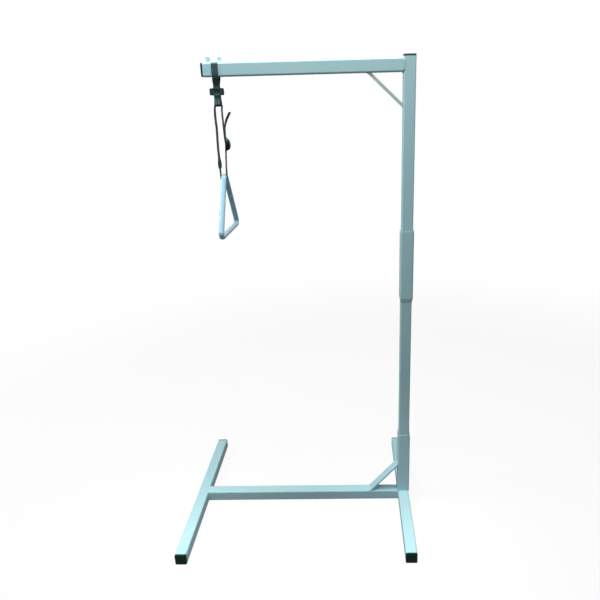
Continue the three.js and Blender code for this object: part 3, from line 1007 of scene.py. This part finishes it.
@dataclass
class Mast:
    """The mast's two lengths with the sleeve, the arm, its brace, welds and plugs."""

    face_x: float = -0.019
    arm: float = 0.040
    arm_top: float = 1.604
    corner: float = 0.005
    brace_foot: float = -0.128
    brace_low: float = 1.462
    brace_half: float = 0.014
    brace_over: Pair = (0.0117, 0.011)
    brace_radii: Pair = (0.0022, 0.002)
    peg: Point = (-0.5757, 0.0, 1.604)
    top_bead: float = 0.0042
    foot_bead: float = 0.0028
    side_bead: float = 0.0034
    side_waist: float = 0.96
    side_in: float = 0.0031
    side_out: float = 0.0026
    side_gap: float = 0.004
    peg_radius: float = 0.005
    peg_ring: Pair = (0.0056, 0.0034)
    peg_ripples: int = 36
    peg_waist: Pair = (0.965, 0.9)
    peg_rise: float = 1.5
    peg_cut: float = 0.0004

    def build(self, shelf: FinishShelf) -> None:
        """Dresses the mast and the arm.

        Args:
            shelf: The finishes.
        """
        repaint(shelf.paint, "lower_post", "upper_post", "arm", "outer_sling_peg", "inner_sling_peg")
        repaint(shelf.grey_paint, "upper_brace")
        repaint(shelf.rim_paint, "coupling_sleeve")
        repaint(shelf.top_plug, "post_top_plug")
        repaint(shelf.plug, "arm_end_plug")
        foot, face = (self.brace_foot, self.arm_top - self.arm), (self.face_x, self.brace_low)
        brace = WeldBead.at_brace(foot, face, self.brace_over, self.brace_half, self.brace_radii)
        WeldBead.lay("arm_welds", "upper_mast", self._arm_beads() + brace, shelf.weld)
        dress(self._peg_weld(), shelf.weld, Slot.PAINT, "upper_mast")

    def _arm_beads(self) -> list[WeldBead]:
        """Beads round the arm's end at the mast.

        Returns:
            The top, the foot and both sides.
        """
        x, flat, side = self.face_x, self.arm / 2 - self.corner, self.arm / 2 - self.side_in
        foot, out = self.arm_top - self.arm, x + self.side_out
        low, high = foot + self.side_gap, self.arm_top - self.side_gap
        radius, waist = self.side_bead, self.side_waist
        beads = [WeldBead((out, y, low), (out, y, high), radius, waist) for y in (-side, side)]
        top = WeldBead.across(x, self.arm_top, flat, self.top_bead)
        return [top, WeldBead.across(x, foot, flat, self.foot_bead), *beads]

    def _peg_weld(self) -> Piece:
        """Models the weld round the inner peg's foot, left out where the webbing lies.

        Returns:
            The weld.
        """
        x, y, z = self.peg
        radii = {"major_radius": self.peg_ring[0], "minor_radius": self.peg_ring[1]}
        segments = {"major_segments": self.peg_ripples, "minor_segments": 12}
        take()
        bpy.ops.mesh.primitive_torus_add(location=self.peg, **radii, **segments)
        weld = named("inner_peg_weld")
        step = 2 * math.pi / self.peg_ripples
        with shaping(weld, "VERT", lambda v: round(math.atan2(v.co.y, v.co.x) / step) % 2 == 1):
            resize(self.peg_waist[0], self.peg_waist[0], self.peg_waist[1], self.peg)
            bpy.ops.mesh.select_all(action="SELECT")
            resize(1.0, 1.0, self.peg_rise, self.peg)
            cut = (x - self.peg_radius + self.peg_cut, y, z)
            bpy.ops.mesh.bisect(plane_co=cut, plane_no=(-1, 0, 0), use_fill=True, clear_outer=True)
        return settle(weld)


@dataclass
class Hanger:
    """The webbing loop over the arm, its sewn seam and the slide buckle that it is threaded through."""

    x: float = -0.591
    arm_top: float = 1.604
    arm: float = 0.040
    arm_corner: float = 0.005
    foot_z: float = 1.478
    foot_half: float = 0.0116
    foot_bend: float = 0.0055
    thick: float = 0.0015
    gap: float = 0.0001
    lean: float = 0.0030
    lean_run: float = 0.022
    lean_z: float = 1.535
    lean_rise: float = 0.030
    front_y: float = 0.002
    bend_over: float = 0.002
    bend_under: float = 0.014
    buckle_z: float = 1.5215
    buckle_y: float = -0.004
    buckle_size: Point = (0.045, 0.0024, 0.021)
    buckle_bar: float = 0.0032
    buckle_corner: float = 0.0045
    slot_corner: float = 0.0009
    slot_slack: float = 0.0003
    thread_slack: float = 0.0007
    web_width: float = 0.0195
    seam_z: float = 1.5005
    seam_slope: float = 0.27

    @property
    def pitch(self) -> float:
        """From the middle of one of the buckle's bars to the next."""
        return (self.buckle_size[2] - self.buckle_bar) / 2

    def build(self, shelf: FinishShelf) -> None:
        """Models the hanger.

        Args:
            shelf: The finishes.
        """
        line = self._line()
        loop = Ribbon("hanger_webbing", line, RIGHT, self.web_width, self.thick, closed=True)
        piece = dress(loop.build(), shelf.webbing, Slot.WEBBING, None, "hanger_loop")
        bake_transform(piece)
        dress(self._buckle(), shelf.buckle, Slot.BUCKLE, "hanger", "slide_buckle")
        foot_z = self.buckle_z - self.buckle_size[2] / 2
        front = [point for point in line if point.y < self.front_y and point.z < foot_z]
        leg = min(front, key=lambda point: abs(point.z - self.seam_z))
        centre = Vector((self.x, leg.y - self.thick / 2 - 0.0001, self.seam_z))
        seam = StitchBox("hanger_stitching", centre, RIGHT, Vector((0, self.seam_slope, 1)).normalized())
        dress(seam.build(), shelf.thread, Slot.WEBBING, "hanger")

    def _line(self) -> list[Vector]:
        """The loop's middle line, round the arm, down through the buckle and round the foot.

        Returns:
            Its points.
        """
        skin = self.gap + self.thick / 2
        side, bend = self.arm / 2 + skin, self.arm_corner + skin
        flat, under = self.arm / 2 - self.arm_corner, self.arm_top - self.arm
        shoulder = self.arm_top - self.arm_corner
        foot, heel = self.foot_half + skin, self.foot_z + self.thick / 2 + self.foot_bend
        thread = self.buckle_size[1] / 2 + skin + self.thread_slack
        z, y = self.buckle_z, self.buckle_y
        high, low, lead = z + self.pitch, z - self.pitch, 0.011
        front = [(-side, shoulder), (-side, under), (y - skin, high + lead), (y - thread, high)]
        front += [(y + thread, z), (y - thread, low), (y - skin, low - lead)]
        front += [(-foot, heel + self.thick), (-foot, heel)]
        back = [(foot, heel), (foot, heel + self.thick), (-y, low), (-y, high)]
        back += [(skin - y, high + lead), (side, under), (side, shoulder)]
        dense = [
            *quarter(self._at(flat, shoulder), bend, BACK, 0),
            *quarter(self._at(-flat, shoulder), bend, BACK, 90),
            *through([self._at(*point) for point in front])[1:],
            *quarter(self._at(self.foot_bend - foot, heel), self.foot_bend, BACK, 180)[1:],
            *quarter(self._at(foot - self.foot_bend, heel), self.foot_bend, BACK, 270),
            *through([self._at(*point) for point in back])[1:],
        ]
        return [self._leaned(point) for point in even(dense, 0.0014)]

    def _at(self, y: float, z: float) -> Vector:
        """A point in the loop's plane."""
        return Vector((self.x, y, z))

    def _leaned(self, point: Vector) -> Vector:
        """Moves the front leg nearer the mast where it lies on the arm."""
        in_front, up = (self.front_y - point.y) / self.lean_run, (point.z - self.lean_z) / self.lean_rise
        return point + RIGHT * (self.lean * held(in_front) * held(up))

    def _buckle(self) -> Piece:
        """Models the three-bar slide buckle.

        Returns:
            The buckle.
        """
        centre = (self.x, self.buckle_y, self.buckle_z)
        buckle = self._plate("webbing_slide", self.buckle_size, centre, self.buckle_corner)
        slot = (self.web_width + self.slot_slack, self.buckle_size[1] * 3, self.pitch - self.buckle_bar)
        for side in (-1, 1):
            place = (self.x, self.buckle_y, self.buckle_z + side * self.pitch / 2)
            cutter = self._plate("slot", slot, place, self.slot_corner)
            apply(buckle, "BOOLEAN", object=cutter, operation="DIFFERENCE", solver="EXACT")
            bpy.data.objects.remove(cutter)
        apply(buckle, "BEVEL", width=0.0006, segments=3, limit_method="ANGLE", angle_limit=math.radians(60))
        return settle(buckle, 35.0)

    @staticmethod
    def _plate(name: str, size: Point, centre: Point, radius: float) -> Piece:
        """Models a plate that faces Y, with round corners.

        Args:
            name: Its name.
            size: Its three sizes.
            centre: Its middle.
            radius: The corners' radius.

        Returns:
            The plate.
        """
        plate = block(name, size, centre)
        with shaping(plate, "EDGE", lambda edge: way(plate, edge).xz.length < 1e-6):
            bpy.ops.mesh.bevel(offset=radius, segments=6, affect="EDGES")
        return plate


@dataclass
class GripStrap:
    """The strap's two strands with the twist in the left one, the bight, the adjuster and the loose tail."""

    top_x: float = -0.591
    foot_x: float = -0.594
    web_width: float = 0.020
    thick: float = 0.0018
    gap: float = 0.0003
    top_z: float = 1.4810
    foot_z: float = 1.2900
    top_bend: float = 0.0016
    top_turn: float = 0.006
    bight_z: float = 1.2529
    bight_width: float = 0.014
    bight_bend: float = 0.004
    foot_spread: float = 0.0175
    rise: float = 0.050
    adjuster_top: float = 1.3700
    adjuster_shift: float = 0.0016
    adjuster_share: float = 0.80
    adjuster_edge: float = 0.0004
    rib_sinks: tuple[float, ...] = (0.0001, 0.0002, 0.0006, 0.0013)
    rib_start: float = 0.60
    rib_pitch: float = 0.09
    rib_radius: float = 0.0006
    twist_z: float = 1.3020
    twist_angle: float = 18.5
    twist_length: float = 0.0145
    twist_below: float = 0.0200
    slack_twist: float = 4.0
    slack_run: float = 0.02
    tail_rise: float = 0.091
    tail_reach: float = 0.022
    tail_twist: float = -9.0
    tail_flat: float = 0.045
    tail_turn: float = 0.03
    fold_reach: float = 0.0103
    fold_peak: float = 0.0092
    fold_drop: float = 0.0022
    fold: Table = ((1.0, -0.05), (0.97, 0.01), (0.80, 0.065), (0.46, 0.11), (0.10, 0.145), (0.01, 0.21))
    curl: Table = (
        *((0.01, 0.33), (0.03, 0.41), (0.08, 0.50), (0.19, 0.60)),
        *((0.29, 0.68), (0.52, 0.80), (0.86, 0.934), (1.0, 1.0)),
    )
    right_bows: Table = (
        *((1.290, 0.0002), (1.316, 0.0011), (1.331, 0.0017), (1.342, 0.0023), (1.354, 0.0034)),
        *((1.365, 0.0040), (1.376, 0.0027), (1.392, 0.0013), (1.430, -0.0001), (1.455, -0.0013)),
        *((1.470, -0.0015), (1.479, 0.0)),
    )
    left_bows: Table = (
        *((1.290, 0.0), (1.315, 0.0002), (1.335, 0.0008), (1.350, 0.0013), (1.375, 0.0010)),
        *((1.400, 0.0003), (1.415, 0.0002), (1.435, 0.0012), (1.455, 0.0017), (1.468, 0.0012), (1.479, 0.0)),
    )

    @property
    def skin(self) -> float:
        """From a face that carries webbing to the webbing's middle."""
        return self.gap + self.thick / 2

    def strand(self, height: float, side: int = 1, out: float = 0.0) -> Vector:
        """A point on a strand's middle line, or beside it.

        Args:
            height: The height.
            side: 1 for the right strand, -1 for the left.
            out: How far it stands off towards +X.

        Returns:
            The point.
        """
        low = self.foot_x + side * (self.foot_spread / 2 + self.skin)
        high = self.top_x + side * (self.web_width / 2 + self.skin)
        share = (height - self.foot_z) / (self.top_z - 0.0015 - self.foot_z)
        bow = self._bow(self.right_bows if side > 0 else self.left_bows, height)
        return Vector((low + (high - low) * share + side * bow + out, 0, height))

    def build(self, shelf: FinishShelf) -> None:
        """Models the strap.

        Args:
            shelf: The finishes.
        """
        strap = Ribbon("strap_webbing", self._strap_line(), twist=self._twist).build()
        dress(strap, shelf.webbing, Slot.WEBBING, "strap", "grip_strap")
        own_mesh(strap)
        bight = Ribbon("bight_webbing", self._bight_line(), narrow=self._gather).build()
        dress(bight, shelf.webbing, Slot.WEBBING, "bight", "grip_bight")
        layers = [Ribbon(f"tail_layer_{i}", line) for i, line in enumerate(self._fold_lines())]
        layers.append(Ribbon("tail_layer_out", self._tail_line(), twist=self._tail_curl))
        tail = join("tail_webbing", [layer.build() for layer in layers])
        dress(tail, shelf.webbing, Slot.WEBBING, "adjuster", "strap_tail")
        dress(self._tail_seal(), shelf.buckle, Slot.WEBBING, "adjuster")
        dress(self._adjuster(), shelf.adjuster, Slot.BUCKLE, "adjuster", "strap_adjuster")

    def _twist(self, point: Vector) -> float:
        """How far the webbing is turned about its line at a point.

        Args:
            point: The point.

        Returns:
            The angle in degrees.
        """
        if point.x > (self.top_x + self.foot_x) / 2:
            return 0.0
        reach = self.twist_length if point.z > self.twist_z else self.twist_below
        turned = self.twist_angle * math.exp(-(((point.z - self.twist_z) / reach) ** 2))
        above, below = self.top_z - self.top_turn - point.z, point.z - self.foot_z
        return turned + self.slack_twist * held(above / self.slack_run) * held(below / self.slack_run)

    def _tail_curl(self, point: Vector) -> float:
        """How far the tail is turned about its line, in degrees, at a point."""
        return self.tail_twist * eased((point.z - self.adjuster_top - self.tail_flat) / self.tail_turn)

    def _gather(self, point: Vector) -> float:
        """How much of its width the webbing keeps as it gathers under the grip's top."""
        narrowest = self.bight_width / self.web_width
        return narrowest + (1 - narrowest) * eased((point.z - self.bight_z) / (self.foot_z - self.bight_z))

    def _strap_line(self) -> list[Vector]:
        """The strands' middle line, up the right, over the hanger's foot and down the left.

        Returns:
            Its points.
        """
        bend, heights = self.top_bend, steps(self.foot_z, self.top_z - self.top_turn, 40)
        half, z = self.web_width / 2 + self.skin - bend, self.top_z - bend
        dense = [
            *[self.strand(height) for height in heights],
            *quarter(Vector((self.top_x + half, 0, z)), bend, RIGHT, 0),
            *quarter(Vector((self.top_x - half, 0, z)), bend, RIGHT, 90),
            *[self.strand(height, -1) for height in reversed(heights)],
        ]
        return even(dense, 0.0016)

    @staticmethod
    def _bow(bows: Table, height: float) -> float:
        """How far a strand bows out from a straight line.

        Args:
            bows: Pairs of a height and how far it bows there.
            height: The height.

        Returns:
            The bow at that height.
        """
        for (low, first), (high, second) in zip(bows, bows[1:]):
            if low <= height <= high:
                return first + (second - first) * eased((height - low) / (high - low))
        return 0.0

    def _bight_line(self) -> list[Vector]:
        """The bight's middle line, under the grip's top.

        Returns:
            Its points.
        """
        bend, side = self.bight_bend, self.foot_spread / 2 + self.skin
        left, right, low = self.foot_x - side, self.foot_x + side, self.bight_z + bend
        heights = steps(self.foot_z, low + 0.001, 8)
        dense = [
            *[Vector((left, 0, z)) for z in heights],
            *quarter(Vector((left + bend, 0, low)), bend, RIGHT, 180),
            *quarter(Vector((right - bend, 0, low)), bend, RIGHT, 270),
            *[Vector((right, 0, z)) for z in reversed(heights)],
        ]
        return even(dense, 0.0014)

    def _tail_line(self) -> list[Vector]:
        """The tail's middle line, out of the adjuster, back to the strand and away in a curl.

        Returns:
            Its points.
        """
        places = [(self.fold_reach, -0.14), (self.fold_reach, -0.09)]
        places += [(self.fold_reach * share, up) for share, up in self.fold]
        places += [(self.tail_reach * share, up) for share, up in self.curl]
        off, low = self.thick + self.gap, self.adjuster_top
        return through([self.strand(low + self.tail_rise * up, out=off + out) for out, up in places])

    def _fold_lines(self) -> list[list[Vector]]:
        """The webbing's inner layers round the adjuster's bar, packed under the outermost one.

        Returns:
            Each layer's points.
        """
        layer = self.thick + self.gap * 0.6
        lines = []
        for count in (1, 2, 3):
            reach, peak = self.fold_reach - layer * count, self.fold_peak - self.fold_drop * count
            places = ((1.0, -0.009), (1.0, -0.003), (0.95, 0.15 * peak), (0.68, 0.55 * peak), (0.2, peak))
            points = [self.strand(self.adjuster_top + up, out=layer + reach * share) for share, up in places]
            lines.append(through(points))
        return lines

    def _tail_seal(self) -> Piece:
        """Models the tail's melted end, a rounded bar across the cut.

        Returns:
            The seal.
        """
        line = self._tail_line()
        along = (line[-1] - line[-3]).normalized()
        seal = block("tail_seal", (0.0021, self.web_width + 0.0002, 0.0012))
        apply(seal, "BEVEL", width=0.0005, segments=3, limit_method="NONE")
        return stand(seal, line[-1], UP.rotation_difference(along))

    def _adjuster(self) -> Piece:
        """Softens the edges of a copy of the CAD adjuster and adds the thumb ribs on its lip.

        Returns:
            The adjuster.
        """
        body = bpy.data.objects.new("ladder_adjuster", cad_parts["strap_adjuster"].data.copy())
        bpy.context.scene.collection.objects.link(body)
        low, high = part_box("strap_adjuster")
        with shaping(body):
            bpy.ops.mesh.remove_doubles(threshold=0.00001)
            bpy.ops.mesh.dissolve_limited(angle_limit=math.radians(2))
            bpy.ops.mesh.select_all(action="SELECT")
            resize(self.adjuster_share, 1, 1, (high.x, 0, 0))
        body.location.x = self.adjuster_shift
        rounding = {"width": self.adjuster_edge, "segments": 2, "limit_method": "ANGLE"}
        apply(body, "BEVEL", angle_limit=math.radians(50), **rounding)
        settle(body, 40.0)
        lip, tall = high.x + self.adjuster_shift, high.z - low.z
        first, step = low.z + tall * self.rib_start, tall * self.rib_pitch
        ribs = [self._rib(lip - sink, first + step * i) for i, sink in enumerate(self.rib_sinks)]
        return join("ladder_adjuster", [*ribs, body])

    def _rib(self, x: float, height: float) -> Piece:
        """Models one thumb rib, a low rounded bar across the lip.

        Args:
            x: Its place.
            height: Its height.

        Returns:
            The rib.
        """
        place = {"location": (x, 0, height), "rotation": (math.pi / 2, 0, 0)}
        radius, depth = self.rib_radius, self.web_width
        take()
        bpy.ops.mesh.primitive_cylinder_add(vertices=10, radius=radius, depth=depth, **place)
        rib = named("rib")
        with shaping(rib, "FACE", lambda face: len(face.vertices) > 4):
            bpy.ops.mesh.inset(thickness=self.rib_radius / 2)
        return settle(rib)


@dataclass
class HandGrip:
    """The moulded triangle, a rounded section drawn along three straights and spun round three corners."""

    x: float = -0.594
    top_z: float = 1.273
    height: float = 0.1938
    half_angle: float = math.radians(31.5)
    thick: float = 0.0158
    depth: float = 0.0170
    edge: float = 0.0066
    top_radius: float = 0.026
    corner_radius: float = 0.020
    turn: float = math.radians(-1.3)
    shift: float = 0.0020
    steps: int = 20

    def build(self, shelf: FinishShelf) -> None:
        """Models the grip.

        Args:
            shelf: The finishes.
        """
        angle, low = self.half_angle, self.corner_radius
        centre_z, foot_z = self.top_z - self.top_radius, self.top_z - self.height
        peak_z = centre_z + self.top_radius / math.sin(angle)
        corner_y = (peak_z - foot_z) * math.tan(angle) - low / math.tan(math.pi / 4 - angle / 2)
        corner_z = foot_z + low
        run = math.sqrt(corner_y**2 + (centre_z - corner_z) ** 2 - (low - self.top_radius) ** 2)
        leg_y, leg_z = -math.sin(angle) * run, math.cos(angle) * run
        grip = self._section((self.x, 0, foot_z + self.thick / 2))
        with shaping(grip):
            for move, y, z, turned in (
                ((0, corner_y, 0), corner_y, corner_z, math.pi / 2 + angle),
                ((0, leg_y, leg_z), 0, centre_z, math.pi - 2 * angle),
                ((0, leg_y, -leg_z), -corner_y, corner_z, math.pi / 2 + angle),
            ):
                bpy.ops.mesh.extrude_region_move(TRANSFORM_OT_translate={"value": move})
                bpy.ops.mesh.spin(steps=self.steps, angle=-turned, center=(self.x, y, z), axis=(1, 0, 0))
            bpy.ops.mesh.extrude_region_move(TRANSFORM_OT_translate={"value": (0, corner_y, 0)})
        with shaping(grip, "FACE", lambda face: len(face.vertices) > 4):
            bpy.ops.mesh.delete(type="ONLY_FACE")
            bpy.ops.mesh.select_all(action="SELECT")
            bpy.ops.mesh.remove_doubles(threshold=0.00005)
            bpy.ops.mesh.select_all(action="SELECT")
            bpy.ops.mesh.normals_make_consistent(inside=False)
        middle, moved = Matrix.Translation(RIGHT * self.x), Matrix.Translation(RIGHT * (self.x + self.shift))
        grip.matrix_world = moved @ Matrix.Rotation(self.turn, 4, "Z") @ middle.inverted()
        dress(settle(grip, 50.0), shelf.grip, Slot.GRIP, "grip", "hand_grip")

    def _section(self, centre: Point) -> Piece:
        """Models the rounded section as one face that stands across the bar.

        Args:
            centre: Its middle.

        Returns:
            The new piece.
        """
        take()
        bpy.ops.mesh.primitive_plane_add(size=1, location=centre, rotation=(-math.pi / 2, 0, 0))
        grip = named("grip_moulding")
        grip.scale = (self.depth, self.thick, 1)
        bake_place()
        with shaping(grip, "VERT"):
            bpy.ops.mesh.bevel(offset=self.edge, segments=6, affect="VERTICES")
        return grip


# Studio


@dataclass(frozen=True)
class Lamp:
    """A soft lamp that faces a point."""

    name: str
    place: Point
    aim: Point
    size: float
    power: float
    spread: float = 180.0

    def build(self) -> None:
        """Hangs the lamp."""
        light = bpy.data.lights.new(self.name, "AREA")
        light.shape = "SQUARE"
        light.size = self.size
        light.energy = self.power
        light.spread = math.radians(self.spread)
        lamp = bpy.data.objects.new(self.name, light)
        bpy.context.scene.collection.objects.link(lamp)
        lamp.location = self.place
        lamp.rotation_euler = (Vector(self.aim) - Vector(self.place)).to_track_quat("-Z", "Y").to_euler()
        lamp.visible_camera = False


@dataclass
class Studio:
    """Floor, world, lamps and camera."""

    ambient: float = 0.10
    floor_bounce: float = 0.16
    floor_size: float = 24.0
    shadow_share: float = 0.12
    shadow_reach: Pair = (3.2, 1.4)
    glossy_share: float = 0.35
    lamps: tuple[Lamp, ...] = (
        Lamp("key", (-0.8, -1.8, 2.4), (-0.3, 0.0, 1.2), 0.8, 8.3),
        Lamp("overhead", (-0.3, -0.3, 3.0), (-0.3, 0.0, 0.0), 1.0, 48.0),
        Lamp("left", (-2.6, -0.3, 2.4), (-0.3, 0.0, 1.2), 1.0, 44.0),
        Lamp("right", (1.8, -1.4, 2.2), (-0.2, 0.0, 1.0), 1.0, 9.0),
        Lamp("front_right", (0.0, -0.40, 0.80), (0.0, -0.30, 0.0), 0.25, 0.5, spread=70.0),
        Lamp("front_left", (-0.789, -0.40, 0.80), (-0.789, -0.30, 0.0), 0.25, 0.5, spread=70.0),
    )
    lens: float = 33.567
    eye: Point = (-0.18293, -1.83404, 1.49485)
    yaw: float = -0.0245
    pitch: float = 0.3457
    roll: float = -0.0260
    principal: Pair = (340.27, 299.33)
    picture: int = 600

    def build(self) -> None:
        """Sets the scene up."""
        self._camera()
        self._world()
        self._floor()
        for lamp in self.lamps:
            lamp.build()
        bpy.context.scene.view_settings.view_transform = "Standard"

    def _camera(self) -> None:
        """Puts the camera where the photograph was taken from."""
        camera = bpy.data.cameras.new("camera")
        camera.lens = self.lens
        camera.sensor_width = 36.0
        camera.shift_x = (self.picture / 2 - self.principal[0]) / self.picture
        camera.shift_y = (self.principal[1] - self.picture / 2) / self.picture
        holder = bpy.data.objects.new("camera", camera)
        bpy.context.scene.collection.objects.link(holder)
        turn = Matrix.Translation(self.eye)
        for angle, axis in ((-self.yaw, "Z"), (math.pi / 2 - self.pitch, "X"), (self.roll, "Z")):
            turn = turn @ Matrix.Rotation(angle, 4, axis)
        holder.matrix_world = turn
        bpy.context.scene.camera = holder

    @staticmethod
    def _seen(shader: Shader, mirrored: float = 1.0) -> Value:
        """The share of the white background that a ray sees, none for rays that light the object."""
        rays = [shader.node("LightPath", output=f"Is {k} Ray") for k in ("Camera", "Glossy", "Transmission")]
        return rays[0] + rays[1] * mirrored + rays[2]

    def _world(self) -> None:
        """White to the camera and in reflections, a soft fill on the object."""
        world = bpy.data.worlds.new("studio")
        bpy.context.scene.world = world
        shader = Shader(world)
        tint, kind = {"Color": (0.94, 0.98, 1.0, 1), "Strength": self.ambient}, "Background"
        fill, white = shader.node(kind, inputs=tint), shader.node(kind, inputs={"Color": (1, 1, 1, 1)})
        shown = shader.node("MixShader", inputs={0: self._seen(shader), 1: fill, 2: white})
        shader.end(shown, "OutputWorld")

    def _floor(self) -> None:
        """A white floor that takes a faint shadow and gives little light back."""
        take()
        bpy.ops.mesh.primitive_plane_add(size=self.floor_size)
        floor = named("floor")
        shader = Shader(bpy.data.materials.new("floor"))
        far = shader.node("VectorMath", {"operation": "LENGTH"}, {0: shader.place}, "Value")
        white = shader.node("Emission", inputs={"Color": (1, 1, 1, 1), "Strength": 1.0})
        bounce = (*(self.floor_bounce,) * 3, 1)
        lit, dull = (shader.node("BsdfDiffuse", inputs={"Color": c}) for c in ((0.9, 0.9, 0.9, 1), bounce))
        shadow = far.smooth(*self.shadow_reach) * self.shadow_share
        shown = shader.node("MixShader", inputs={0: shadow, 1: white, 2: lit})
        seen = self._seen(shader, self.glossy_share)
        shader.end(shader.node("MixShader", inputs={0: seen, 1: dull, 2: shown}))
        floor.data.materials.append(shader.owner)


def main() -> None:
    """Builds the studio and every sub-assembly."""
    logging.basicConfig(level=logging.INFO, format="%(message)s")
    Studio().build()
    shelf = FinishShelf()
    for assembly in (BaseFrame(), Mast(), Hanger(), GripStrap(), HandGrip()):
        LOG.info("building %s", type(assembly).__name__)
        assembly.build(shelf)
    take()


if __name__ == "__main__":
    main()
